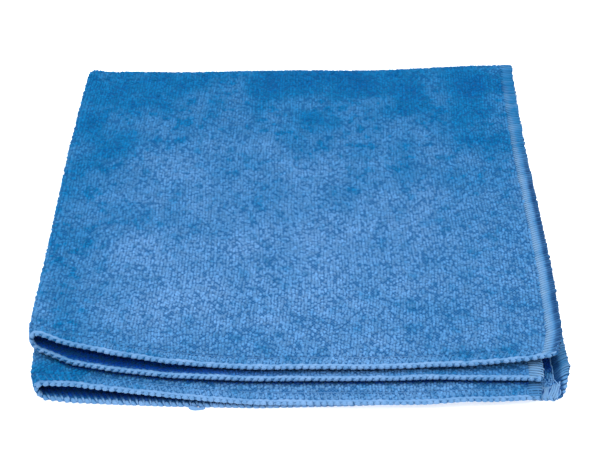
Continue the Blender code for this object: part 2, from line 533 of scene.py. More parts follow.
@dataclass
class TerryPile:
    """Loops of the pile: small leaning domes in rows that run from back to front.

    A dome is rings of a squashed half ball: radius cos(a), height sin(a), for a from a
    little under its foot to its tip.
    """

    sheet: FoldedSheet
    foot: float = 0.42             # height of the foot over the middle of the sheet
    height: float = 0.70
    length: float = 1.08           # half length along the row
    breadth: float = 0.78          # half breadth across it
    lean: float = 0.40
    hem_line: float = 5.0          # the pile is parted along the needle thread
    hem_part: float = 0.55
    hem_height: float = 0.75       # and held down outside it
    missing: float = 0.15          # share of loops pressed flat, which leaves pits
    usual_pitch: float = 1.20      # loops further apart are larger by as much
    fold_fuller: float = 0.25      # the loops stand taller over the back fold
    turn: float = 0.28             # spread of each loop's turn, in radians
    wobble_across: float = 0.11    # spread of its place, as a share of the pitch
    wobble_along: float = 0.18
    meander: float = 0.45
    last_row: float = 198.2
    corner_satin_u: float = 185.0  # the satin of the front right corner starts here
    corner_satin_v: float = -194.6
    curl_lit_u: float = 178.0      # the curled margin is in the light past here, so its painted shade is lifted
    curl_lit_v: float = -188.5     # and in front of here
    under_start: float = 0.6       # painted shadow of sheet 3's hem on sheet 2, from this far in front of that hem
    under_reach: float = 1.8
    # how dark that painted shadow gets
    under_shadow: float = 0.95
    seed: int = 7

    def template(self, sides: int, rings: int) -> tuple[np.ndarray, np.ndarray]:
        """One dome: places (x along u, y along v, z out) and its faces.

        Args:
            sides: corners of each ring.
            rings: number of rings under the tip.

        Returns:
            Places with the tip last, and faces with -1 as the fourth corner of a triangle.
        """
        rise = np.linspace(-0.25, 0.95, rings + 1)[:rings]
        turn = np.arange(sides) * 2.0 * np.pi / sides
        ring = np.stack([np.cos(rise)[:, None] * np.cos(turn), np.cos(rise)[:, None] * np.sin(turn),
                         np.repeat(np.sin(rise)[:, None], sides, 1)], -1).reshape(-1, 3)
        places = np.concatenate([ring, [[0.0, 0.0, 1.0]]])
        one = np.arange(sides)
        nxt = (one + 1) % sides
        bands = [np.stack([one + sides * r, nxt + sides * r, nxt + sides * (r + 1),
                           one + sides * (r + 1)], -1) for r in range(rings - 1)]
        last = sides * (rings - 1)
        cap = np.stack([one + last, nxt + last, np.full(sides, sides * rings),
                        np.full(sides, -1)], -1)
        return places, np.concatenate([*bands, cap])

    def may_stand(self, patch: Patch, u: np.ndarray, v: np.ndarray) -> np.ndarray:
        """Whether loops may stand at places: off the needle thread, and off the satin.

        Args:
            patch: the patch that the places are in.
            u: flat places across the first fold.
            v: flat places across the second fold.

        Returns:
            True or False for each place.
        """
        if patch.name == "pile_first_side":
            off_corner = (u < self.corner_satin_u) | (v > self.corner_satin_v)
            return (self.sheet.half - u > self.sheet.side_hem(v) + 0.3) & off_corner
        return np.abs(self.sheet.inward(u, v) - self.hem_line) > self.hem_part

    def scatter(self, patch: Patch, rng: np.random.Generator) -> tuple[np.ndarray, np.ndarray]:
        """Choose where the loops of a patch stand.

        Every other row is shifted by half a pitch, and all of them wobble and meander. A
        share is left out, in clumps, where loops are pressed flat.

        Args:
            patch: the flat rectangle and its spacing.
            rng: the patch's own random numbers.

        Returns:
            Flat places u and v.
        """
        cols = np.arange(patch.u_from, patch.u_to, patch.pitch_u)
        rows = np.arange(patch.v_from, patch.v_to, patch.pitch_v)
        u, v = np.meshgrid(cols, rows, indexing="ij")
        v = v + 0.5 * patch.pitch_v * (np.arange(len(cols)) % 2)[:, None]
        u, v = u.ravel(), v.ravel()
        count = len(u)
        u = u + rng.normal(0.0, self.wobble_across, count) * patch.pitch_u
        v = np.clip(v + rng.normal(0.0, self.wobble_along, count) * patch.pitch_v,
                    -self.last_row, self.last_row)
        meander = np.sin(v / 17.0 + 0.9 * np.sin(u / 23.0)) + 0.6 * np.sin(v / 7.3 + u / 11.0)
        u = u + self.meander * meander
        clumps = sum(np.sin(u / a + 1.7 * np.sin(v / b) + c) * np.sin(v / b + c)
                     for a, b, c in ((6.1, 7.9, 0.3), (10.7, 8.9, 2.1), (3.7, 4.6, 4.0)))
        chance = self.missing * (1.0 + 0.25 * clumps) * (self.sheet.inward(u, v) > self.hem_line)
        kept = (rng.random(count) > chance) & self.may_stand(patch, u, v)
        return u[kept], v[kept]

    def shade(self, patch: Patch, u: np.ndarray, v: np.ndarray,
              points: np.ndarray) -> np.ndarray:
        """How much painted shade each loop takes, from 0 in the open to 1 deep between the sheets.

        Args:
            patch: the patch that the loops are in.
            u: flat places across the first fold.
            v: flat places across the second fold.
            points: the same places on the folded cloth.

        Returns:
            One number for each loop.
        """
        shut = self.sheet.shut(u, v) * (patch.face is Face.INNER)
        if patch.name == "pile_first_side":
            lit = ease((u - self.curl_lit_u) / 6.0)
            shut = shut * np.maximum(1.0 - lit, ease((v - self.curl_lit_v) / 4.0))
        # painted shadow that sheet 3's hem casts on the pile of sheet 2
        if patch.name == "pile_second_front":
            over = column(FRONT_EDGES, "x", "sheet3", points[:, 0]) - self.under_start
            shut = self.under_shadow * ease((points[:, 1] - over) / self.under_reach)
        return shut

    @staticmethod
    def chart(patch: Patch, places: np.ndarray, shape: np.ndarray, count: int) -> np.ndarray:
        """Flat map of a patch: each loop, seen from its tip, has a square cell of its own.

        Args:
            patch: the patch, for its rings and sides.
            places: the places of one dome.
            shape: the faces of one dome.
            count: how many loops there are.

        Returns:
            (faces, 4, 2) places of the corners on the map.
        """
        rank = np.append(np.repeat(1.0 - np.arange(patch.rings) / patch.rings, patch.sides), 0.0)
        flat = places[:, :2] / np.maximum(np.linalg.norm(places[:, :2], axis=1), 1e-9)[:, None]
        round_map = 0.5 + 0.46 * flat * rank[:, None]
        side_count = int(np.ceil(np.sqrt(count)))
        cell = np.stack([np.arange(count) % side_count, np.arange(count) // side_count], -1)
        return ((cell[:, None, None] + round_map[shape][None]) / side_count).reshape(-1, 4, 2)

    def build(self, patch: Patch) -> bpy.types.Object:
        """Plant one patch of loops on a face of the folded sheet.

        Each dome is scaled along, across and out, turned a little round its foot, and
        leans by a share of its height.

        Args:
            patch: the flat rectangle, the face, the spacing and the fineness of a loop.

        Returns:
            One joined mesh, with attributes tip (0 foot, 1 top), tone (one per loop) and
            shut (painted shade, 1 deep between the folded sheets).
        """
        rng = np.random.default_rng(self.seed + PILE_PATCHES.index(patch))
        u, v = self.scatter(patch, rng)
        count = len(u)
        points, normal, along_u, along_v = self.sheet.frame_at(u, v)
        out = normal * patch.face.value
        turn = rng.normal(0.0, self.turn, count)[:, None]
        side = along_u * np.cos(turn) + along_v * np.sin(turn)
        side = side / np.linalg.norm(side, axis=-1, keepdims=True)
        ahead = np.cross(out, side)
        coarse = patch.pitch_u / self.usual_pitch
        held = np.where(self.sheet.inward(u, v) < self.hem_line, self.hem_height, 1.0) \
            + self.fold_fuller * ease(1.0 - np.abs(v) / 8.0)
        tall = self.height * held * rng.uniform(0.70, 1.22, count)
        broad = self.breadth * coarse * rng.uniform(0.72, 1.15, count)
        long = self.length * coarse * rng.uniform(0.65, 1.18, count)
        places, shape = self.template(patch.sides, patch.rings)
        px, py, pz = (places[:, n][None, :, None] for n in range(3))
        lean_side, lean_ahead = rng.normal(0.0, self.lean, (2, count, 1, 1))
        verts = (points + out * self.foot)[:, None] \
            + side[:, None] * (broad[:, None, None] * px + lean_side * pz * 0.5) \
            + ahead[:, None] * (long[:, None, None] * py + lean_ahead * pz * 0.5) \
            + out[:, None] * (tall[:, None, None] * pz)
        verts = verts.reshape(-1, 3)
        verts[:, 2] = np.maximum(verts[:, 2], 0.0)
        starts = (np.arange(count) * len(places))[:, None, None]
        faces = np.where(shape[None] >= 0, shape[None] + starts, -1).reshape(-1, 4)
        values = {"tip": np.tile(np.clip(places[:, 2], 0.0, 1.0), count),
                  "tone": np.repeat(rng.uniform(0.0, 1.0, count), len(places)),
                  "shut": np.repeat(self.shade(patch, u, v, points), len(places))}
        return make_mesh(patch.name, verts, faces, values,
                         self.chart(patch, places, shape, count))

    def make(self, wardrobe: "Wardrobe") -> list[bpy.types.Object]:
        """Plant every patch and dress it as loops."""
        return [dress(self.build(patch), wardrobe.loops) for patch in PILE_PATCHES]


class Edge(Enum):
    """The four hems: which flat direction is held at the edge, and on which side."""

    RIGHT_OUTER = ("u", 1.0)       # right hems of sheets 1 and 4
    RIGHT_INNER = ("u", -1.0)      # right hems of sheets 2 and 3
    FRONT_UPPER = ("v", 1.0)       # front hems of sheets 3 and 4
    FRONT_LOWER = ("v", -1.0)      # front hems of sheets 1 and 2


def tube(points: np.ndarray, out: np.ndarray, thick: np.ndarray, wide: np.ndarray,
         sides: int, pale: float | np.ndarray = 1.0) -> Strand:
    """Carry an oval along a path: rings in the plane across the path's direction.

    Args:
        points: (..., n, 3) paths.
        out: (..., n, 3) the way the oval's thin side faces.
        thick: (..., n) half thickness along out.
        wide: (..., n) half width across the path.
        sides: corners of the oval.
        pale: paleness of the thread, one number or one for each point.

    Returns:
        Places, four-sided faces and paleness, with the ends drawn to a point.
    """
    ahead = np.gradient(points, axis=-2)
    ahead /= np.maximum(np.linalg.norm(ahead, axis=-1, keepdims=True), 1e-9)
    side = np.cross(ahead, out)
    side /= np.maximum(np.linalg.norm(side, axis=-1, keepdims=True), 1e-9)
    up = np.cross(side, ahead)
    turn = np.arange(sides) * 2.0 * np.pi / sides
    shrink = np.ones(points.shape[-2])
    shrink[[0, -1]] = 0.02
    ring = points[..., None, :] \
        + up[..., None, :] * (thick * shrink)[..., None, None] * np.sin(turn)[:, None] \
        + side[..., None, :] * (wide * shrink)[..., None, None] * np.cos(turn)[:, None]
    grid = np.arange(ring[..., 0].size).reshape(ring.shape[:-1])
    nxt = np.roll(grid, -1, axis=-1)
    faces = np.stack([grid[..., :-1, :], nxt[..., :-1, :], nxt[..., 1:, :], grid[..., 1:, :]], -1)
    shade = np.broadcast_to(np.asarray(pale, dtype=float), points.shape[:-1])
    return ring.reshape(-1, 3), faces.reshape(-1, 4), np.repeat(shade.ravel(), sides)


def gather(name: str, strands: Sequence[Strand], sides: int) -> bpy.types.Object:
    """Join strands of thread into one mesh with the attribute pale.

    Args:
        name: the object's name.
        strands: the strands, all with the same number of sides.
        sides: that number. On the flat map each strand runs along lines this many cells high.

    Returns:
        The new object.
    """
    starts = np.cumsum([0] + [len(places) for places, _, _ in strands[:-1]])
    verts = np.concatenate([places for places, _, _ in strands])
    verts[:, 2] = np.maximum(verts[:, 2], 0.0)
    faces = np.concatenate([f + start for (_, f, _), start in zip(strands, starts)])
    length, across = np.divmod(np.arange(len(faces)), sides)
    wide = int(np.ceil(np.sqrt(len(faces))))
    line, column_at = np.divmod(length, wide)
    corner = np.array([[0.02, 0.02], [0.02, 0.98], [0.98, 0.98], [0.98, 0.02]])
    chart = np.stack([column_at, line * sides + across], -1)[:, None] + corner
    chart = chart / (wide, (line[-1] + 1) * sides)
    values = {"pale": np.concatenate([p for _, _, p in strands])}
    return make_mesh(name, verts, faces, values, chart)


@dataclass
class Overlock:
    """Overlock stitches bound round every hem.

    The front hems have a beaded edge and thin legs back to the needle line; the side hems
    are covered by close satin turns.
    """

    sheet: FoldedSheet
    pitch: float = 2.6             # length of a stitch
    reach: float = 4.9             # from the edge to the needle line
    satin_wide: float = 5.6        # of the side hems
    end: float = 0.6               # first stitch from the corner
    bead_bite: float = 1.20        # how far a bead reaches in over the face
    bead_over: float = 0.18        # and out past the edge
    bead_high: float = 0.80
    bead_slant: float = 0.42
    tail_x: float = -41.2          # the loop of slack thread under the front hem
    tail_y: float = -102.9
    tail_wide: float = 6.2
    tail_bow: float = 1.3
    seed: int = 21

    def frame_along(self, edge: Edge, along: np.ndarray, inward: np.ndarray) -> tuple:
        """The sheet's frame at places given along a hem and inward from its edge.

        Args:
            edge: the hem.
            along: flat places along it.
            inward: distances in from the cloth's edge.

        Returns:
            Points, unit normals of the outer face, and unit directions out past the edge.
        """
        held, sign = edge.value
        near = sign * (self.sheet.half - inward)
        u, v = (near, along) if held == "u" else (along, near)
        points, normal, along_u, along_v = self.sheet.frame_at(u, v)
        return points, normal, sign * (along_u if held == "u" else along_v)

    def turns(self, samples: int, pitch: float) -> np.ndarray:
        """Stitch count along a hem, as an even row of samples."""
        count = 2.0 * (self.sheet.half - self.end) / pitch
        return np.linspace(0.0, count, int(count * samples) + 1)

    def wander(self, turn: np.ndarray, salt: int) -> np.ndarray:
        """One random number for each stitch, drawn straight between stitches.

        Args:
            turn: stitch count along the hem.
            salt: a number that tells this run of stitches from the others.

        Returns:
            Numbers spread about 0 with a deviation of 1.
        """
        knots = np.arange(int(turn[-1]) + 2)
        rng = np.random.default_rng(self.seed + salt)
        return np.interp(turn, knots, rng.normal(0.0, 1.0, len(knots)))

    def satin_reach(self, edge: Edge, along: np.ndarray) -> np.ndarray:
        """How far in the satin goes: the lowest sheet's narrows towards its corner."""
        lowest = edge is Edge.RIGHT_OUTER
        return self.sheet.side_hem(along) if lowest else np.full_like(along, self.satin_wide)

    def satin(self, edge: Edge, start: float = -199.4, stop: float = 199.4,
              fine: float = 1.0) -> Strand:
        """Satin hem: a flat spiral of close turns round the hem's section.

        Inward place is w - w cos(a), height is sin(a) squared off by a power.

        Args:
            edge: the hem that is bound.
            start: flat place along the hem of the first turn.
            stop: and of the last.
            fine: share of the usual pitch and thread width.

        Returns:
            One long strand.
        """
        pitch = 0.5 * self.pitch * fine
        count = (stop - start) / pitch
        turn = np.linspace(0.0, count, int(count * 14) + 1)
        a = 2.0 * np.pi * turn
        wob = self.wander(turn, 1 + len(edge.name))
        along = start + pitch * (turn + 0.06 * wob)
        reach = self.satin_reach(edge, along)
        w = 0.5 * (reach + 0.1)
        inward = w - 0.1 - (w + 0.20 * wob * reach / self.satin_wide) * np.cos(a)
        points, normal, away = self.frame_along(edge, along, inward)
        high = (0.86 + 0.04 * wob) * np.sign(np.sin(a)) * np.abs(np.sin(a)) ** 0.4
        out = normal * np.sin(a)[:, None] * 1.2 + away * np.cos(a)[:, None]
        wide = (0.30 + 0.34 * np.abs(np.sin(a)) ** 0.6) * np.sqrt(fine)
        tone = self.satin_tone(edge, along, inward * self.satin_wide / reach, a, turn)
        return tube(points + normal * high[:, None], out, np.full_like(wide, 0.24), wide, 6,
                    tone + 0.10 * wob)

    def satin_tone(self, edge: Edge, along: np.ndarray, inward: np.ndarray, a: np.ndarray,
                   turn: np.ndarray) -> np.ndarray:
        """Paleness of the satin hems, from -1 (painted shade) over 0 (as the nap) to 1 (pale).

        The top sheet's hem pales towards the front and has painted shade at its rim. The lowest
        sheet's margin is painted partly shaded, with a painted shaded band inside the curl.

        Args:
            edge: the hem.
            along: flat places along it.
            inward: distances in from the edge, as on a hem of the usual width.
            a: angles round the hem's section.
            turn: count of the turns.

        Returns:
            The paleness at each place.
        """
        if edge in (Edge.FRONT_UPPER, Edge.FRONT_LOWER):
            return np.full_like(along, 0.45)
        if edge is Edge.RIGHT_INNER:
            # painted shade on sheet 2's side hem, which lies under sheet 3
            return np.where(along > 0.0, 0.40, -0.25)
        forward, darker = ease((along - 10.0) / 95.0), ease((along - 45.0) / 60.0)
        # painted shade at the top hem's rim, where its edge lies in shadow
        rim = np.interp(inward, (-0.1, 0.8, 1.6, 2.2, 2.8, 3.5, 5.2, 5.6),
                        (-0.7, -1.0, -1.0, -0.4, 0.1, 0.9, 1.0, 0.4))
        teeth = 0.88 + 0.12 * np.sin(np.pi * turn)
        top = (0.06 + 0.50 * forward) * np.maximum(rim, 0.0) \
            + (0.05 + 0.95 * darker) * np.minimum(rim, 0.0) * teeth
        # painted shaded band inside the curl of the lowest sheet
        curl = np.interp(inward, (0.0, 0.5, 1.2, 2.4, 3.0, 4.5, 5.6),
                         (0.30, 0.25, 0.10, 0.04, -0.85, -1.0, -1.0))
        # painted shade on the lowest sheet's margin, under the sheets above it
        margin = -0.50 + 0.30 * np.sin(np.pi * turn)
        near = ease((-along - 150.0) / 16.0)
        low = margin + (curl - margin) * near * ease(0.5 - 2.0 * np.sin(a))
        return np.where(along > 0.0, top, low)

    def legs(self, edge: Edge) -> Strand:
        """Front hem: one turn a stitch, sunk in the pile outside and proud of it inside.

        It runs round the section as the satin does, more loosely.

        Args:
            edge: the hem that is bound.

        Returns:
            One long strand.
        """
        turn = self.turns(14, self.pitch)
        a = 2.0 * np.pi * turn
        wob = self.wander(turn, 5 + len(edge.name))
        w = 0.5 * self.reach
        inward = w - (w + 0.1 * wob) * np.cos(a)
        along = self.end - self.sheet.half + self.pitch * (turn + 0.05 * wob)
        points, normal, away = self.frame_along(edge, along, inward)
        inside = ease(0.5 - 2.0 * np.sin(a)) * (0.12 if edge is Edge.FRONT_UPPER else 1.0)
        sunk = 0.40 * (edge is Edge.FRONT_UPPER) * (np.sin(a) < 0.0)
        high = (0.74 + 0.14 * inside - sunk) * np.sign(np.sin(a)) * np.abs(np.sin(a)) ** 0.45
        out = normal * np.sin(a)[:, None] * 1.2 + away * np.cos(a)[:, None]
        wide = 0.26 + 0.30 * inside * np.abs(np.sin(a))
        # painted light and shade on the inner strands: on the lower hem the first ones are painted
        # lit and the deeper ones painted shaded into the gap between the sheets; on the upper hem
        # they are all painted shaded
        lit = 0.6 if edge is Edge.FRONT_LOWER else -3.0
        tone = 0.05 + inside * np.interp(inward, (0.0, 0.9, 1.5, 2.2), (lit, lit, -0.6, -1.0))
        return tube(points + normal * high[:, None], out, np.full_like(wide, 0.24), wide, 5,
                    tone)

    def beads(self, edge: Edge) -> Strand:
        """Front hem: one fat slanting strand a stitch, bent round the very edge.

        For an angle b from under the hem to over it, the inward place is
        bite (1 - cos b) - over, the height is sin b and the slant goes with sin b.

        Args:
            edge: the hem that is bound.

        Returns:
            All the beads of the hem.
        """
        stitch = np.arange(int(self.turns(1, self.pitch)[-1]))
        wob = self.wander(stitch.astype(float), 9 + len(edge.name))[:, None]
        b = np.linspace(-1.95, 1.35, 8)[None, :]
        along = self.end - self.sheet.half + self.pitch * (stitch[:, None] + 0.5) \
            + self.bead_slant * np.sin(b) + 0.16 * wob
        inward = (self.bead_bite + 0.12 * wob) * (1.0 - np.cos(b)) / 1.37 - self.bead_over
        points, normal, away = self.frame_along(edge, along, inward)
        high = self.bead_high * np.sin(b)[..., None]
        out = normal * np.sin(b)[..., None] + away * np.cos(b)[..., None]
        full = np.sqrt(np.clip(1.0 - (b / 2.1) ** 4, 0.0, 1.0)) + 0.0 * wob
        wide = np.interp(b, (-0.9, 0.5), (0.78, 1.13)) + 0.07 * wob
        return tube(points + normal * high, out, 0.32 * full, wide * full, 6,
                    0.43 + 0.10 * wob)

    def cord(self, edge: Edge, face: Face) -> Strand:
        """Front hem: the chain that lies on a face behind the beads, fuller once a stitch.

        Args:
            edge: the hem.
            face: the face of the cloth that the chain lies on.

        Returns:
            One long strand.
        """
        turn = self.turns(5, self.pitch)
        a = 2.0 * np.pi * turn
        along = self.end - self.sheet.half + self.pitch * turn
        wob = self.wander(turn, 13 + len(edge.name))
        inward = 0.84 + 0.12 * np.sin(a) + 0.08 * wob
        points, normal, _ = self.frame_along(edge, along, inward)
        thick, wide = 0.32 + 0.06 * np.cos(a), 0.64 + 0.12 * np.cos(a) + 0.06 * wob
        return tube(points + normal * face.value * 0.62, normal, thick, wide, 6,
                    0.41 + 0.10 * wob)

    def needle(self, edge: Edge) -> Strand:
        """The needle thread: dashes that arch a little and dive between stitches.

        It is sunk and painted a little shaded outside, and pale on the inner face of the lowest
        sheet's side.

        Args:
            edge: the hem.

        Returns:
            One long strand.
        """
        turn = self.turns(8, self.pitch)
        along = self.end - self.sheet.half + self.pitch * turn
        side = edge is Edge.RIGHT_OUTER
        inward = self.satin_reach(edge, along) if side else np.full_like(turn, self.reach)
        points, normal, _ = self.frame_along(edge, along, inward)
        # outside, the needle thread is painted a little shaded, as it lies sunk in the parted pile
        face, lift, tone = (-1.0, 0.62, 0.5) if side else (1.0, 0.30, -0.2)
        high = face * (0.36 + lift * np.abs(np.sin(np.pi * turn)) ** 0.6)
        radius = np.full_like(turn, 0.28 if side else 0.20)
        return tube(points + normal * high[:, None], normal, radius, radius, 5,
                    tone * np.abs(np.sin(np.pi * turn)))

    def tail(self) -> Strand:
        """A short loop of slack thread that bulges from under the front hem.

        Returns:
            One strand: a bow to the front that rises and falls a little.
        """
        t = np.linspace(0.0, 1.0, 14)
        x = self.tail_x + self.tail_wide * t
        y = self.tail_y - self.tail_bow * np.sin(np.pi * t) ** 0.7
        z = 0.75 + 0.20 * np.sin(5.0 * t)
        radius = 0.70 + 0.15 * np.sin(7.0 * t)
        up = np.tile([0.0, 0.0, 1.0], (len(t), 1))
        return tube(np.stack([x, y, z], -1), up, radius, radius, 6, 0.45)

    def build(self) -> list[bpy.types.Object]:
        """Sew all four hems.

        Returns:
            The satin side hems, the beaded front edges, and the legs and needle lines.
        """
        sides = (Edge.RIGHT_OUTER, Edge.RIGHT_INNER)
        fronts = (Edge.FRONT_UPPER, Edge.FRONT_LOWER)
        cords = [self.cord(Edge.FRONT_UPPER, Face.OUTER), self.cord(Edge.FRONT_UPPER, Face.INNER),
                 self.cord(Edge.FRONT_LOWER, Face.OUTER)]
        return [
            gather("hem_satin", [*(self.satin(edge) for edge in sides),
                                 self.satin(Edge.FRONT_LOWER, 185.0, 198.0, 0.55)], 6),
            gather("hem_beads", [*(self.beads(edge) for edge in fronts), *cords, self.tail()], 6),
            gather("hem_legs", [*(self.legs(edge) for edge in fronts),
                                *(self.needle(edge) for edge in fronts),
                                self.needle(Edge.RIGHT_OUTER)], 5),
        ]

    def make(self, wardrobe: "Wardrobe") -> list[bpy.types.Object]:
        """Sew the hems and dress them: the satin greyer than the rest of the thread."""
        return [dress(piece, wardrobe.satin if piece.name == "hem_satin" else wardrobe.thread) for piece in self.build()]


@dataclass(frozen=True)
class TerryFinish:
    """Colours of the microfibre: pressed nap is deep, raised nap is pale; the pit colour and the
    colour between the sheets are painted shade.
    """

    pressed: Colour = (0.000, 0.085, 0.258)
    deep: Colour = (0.003, 0.124, 0.312)
    pale: Colour = (0.092, 0.232, 0.460)
    # painted shade at the foot of the loops and in the knit between them
    pit_shade: Colour = (0.002, 0.064, 0.205)
    # painted shade of the pile between the folded sheets
    shut: Colour = (0.000, 0.036, 0.240)
    roughness: float = 0.92
    specular: float = 0.05
    sheen: float = 0.04
    sheen_tint: Colour = (0.60, 0.78, 1.0)


@dataclass(frozen=True)
class ThreadFinish:
    """Colours of the hem thread, a shade paler than the cloth."""

    pale: Colour = (0.180, 0.318, 0.545)
    # painted shade, for thread that lies in shadow
    shade: Colour = (0.000, 0.030, 0.150)
    roughness: float = 0.70
    specular: float = 0.12
    sheen: float = 0.06


SATIN_FINISH = ThreadFinish((0.160, 0.275, 0.425), (0.000, 0.036, 0.135))   # side hems: greyer, with a painted shade of their own


def add(tree: Tree, kind: str, **settings: object) -> bpy.types.Node:
    """Add a shader node.

    Args:
        tree: the tree that it goes in.
        kind: its type, without the leading ShaderNode.
        settings: properties to set on it.

    Returns:
        The node.
    """
    node = tree.nodes.new("ShaderNode" + kind)
    for key, value in settings.items():
        setattr(node, key, value)
    return node


def give(tree: Tree, socket: Socket, value: Value) -> None:
    """Give an input a number, a colour or a link.

    Args:
        tree: the tree that the input is in.
        socket: the input.
        value: what it is given.
    """
    if isinstance(value, bpy.types.NodeSocket):
        tree.links.new(value, socket)
    elif isinstance(value, tuple) and len(value) == 3 and socket.type == "RGBA":
        socket.default_value = (*value, 1.0)
    else:
        socket.default_value = value


def math_node(tree: Tree, operation: str, *values: Value, clamp: bool = False) -> Socket:
    """Work out one Math node.

    Args:
        tree: the tree that it goes in.
        operation: what it does.
        values: its inputs in order.
        clamp: whether the result is held between 0 and 1.

    Returns:
        The result.
    """
    node = add(tree, "Math", operation=operation, use_clamp=clamp)
    for socket, value in zip(node.inputs, values):
        give(tree, socket, value)
    return node.outputs[0]


def ramp_node(tree: Tree, value: Value, low: float, high: float, to_low: float = 0.0,
              to_high: float = 1.0) -> Socket:
    """Smooth step of a value from one range to another.

    Args:
        tree: the tree that the node goes in.
        value: what is read.
        low: where the step starts.
        high: where it ends.
        to_low: the result at its start.
        to_high: the result at its end.

    Returns:
        The result.
    """
    node = add(tree, "MapRange", interpolation_type="SMOOTHSTEP")
    for name, number in (("Value", value), ("From Min", low), ("From Max", high),
                         ("To Min", to_low), ("To Max", to_high)):
        give(tree, node.inputs[name], number)
    return node.outputs["Result"]


def mix_node(tree: Tree, factor: Value, first: Value, second: Value,
             blend: str = "MIX") -> Socket:
    """Mix two colours.

    Args:
        tree: the tree that the node goes in.
        factor: share of the second colour.
        first: the first colour.
        second: the second colour.
        blend: how they mix.

    Returns:
        The mixed colour.
    """
    node = add(tree, "Mix", data_type="RGBA", blend_type=blend)
    for place, value in ((0, factor), (6, first), (7, second)):
        give(tree, node.inputs[place], value)
    return node.outputs[2]


def noise_node(tree: Tree, place: Socket, scale: float, detail: float = 2.0,
               roughness: float = 0.5) -> Socket:
    """Read a noise at a place.

    Args:
        tree: the tree that the node goes in.
        place: the coordinates that it is read at.
        scale: how fine it is.
        detail: how many finer layers it has.
        roughness: how strong they are.

    Returns:
        A number from 0 to 1.
    """
    node = add(tree, "TexNoise")
    for name, value in (("Vector", place), ("Scale", scale), ("Detail", detail),
                        ("Roughness", roughness)):
        give(tree, node.inputs[name], value)
    return node.outputs["Fac"]


def add_bump(tree: Tree, shader: bpy.types.Node, height: Socket, strength: float,
             reach: float) -> None:
    """Let a height tilt a shader's normal.

    Args:
        tree: the tree that both are in.
        shader: the shader.
        height: the height, from 0 to 1.
        strength: how much of it counts.
        reach: how high 1 is, in metres.
    """
    bump = add(tree, "Bump")
    for name, value in (("Strength", strength), ("Distance", reach), ("Height", height)):
        give(tree, bump.inputs[name], value)
    give(tree, shader.inputs["Normal"], bump.outputs[0])


def object_place(tree: Tree) -> Socket:
    """Coordinates on the piece itself, in metres."""
    return add(tree, "TexCoord").outputs["Object"]


def attribute(tree: Tree, name: str) -> Socket:
    """A number that the mesh keeps for each vertex."""
    return add(tree, "Attribute", attribute_name=name).outputs["Fac"]


class NapPatch(NamedTuple):
    """A round place where a hand has brushed the nap up (+) or down (-); the one at the front right
    corner is painted light instead.
    """

    x: float
    y: float
    across: float
    along: float
    change: float


NAP_PATCHES = (
    NapPatch(-70, -50, 45, 40, 0.40),
    NapPatch(-90, -90, 15, 10, -0.20),
    NapPatch(-60, -95, 40, 8, -0.15),
    NapPatch(10, 90, 50, 20, -0.35),
    NapPatch(20, 50, 35, 25, -0.20),
    NapPatch(45, 75, 20, 15, -0.20),
    NapPatch(-90, 50, 20, 20, -0.25),
    NapPatch(70, 50, 15, 20, -0.20),
    NapPatch(90, 65, 10, 25, 0.15),
    NapPatch(-55, -25, 25, 15, 0.20),
    NapPatch(-95, 0, 15, 20, 0.15),
    NapPatch(-20, -60, 25, 25, 0.25),
    NapPatch(30, -30, 30, 20, -0.15),
    NapPatch(80, -25, 20, 15, -0.12),
    NapPatch(-100, -75, 10, 20, 0.30),
    NapPatch(-35, -25, 20, 10, 0.12),
    NapPatch(75, 25, 10, 15, 0.15),
    NapPatch(75, 85, 15, 15, -0.20),
    # painted light: lifts the pile at the front right corner, which lies in shade under the top
    # sheet
    NapPatch(95, -95, 8, 8, 0.50),
    NapPatch(0, -100, 120, 8, 0.15),
    NapPatch(-75, 0, 15, 15, 0.12),
    NapPatch(0, -45, 15, 10, -0.12),
    NapPatch(10, 60, 12, 12, -0.10),
)


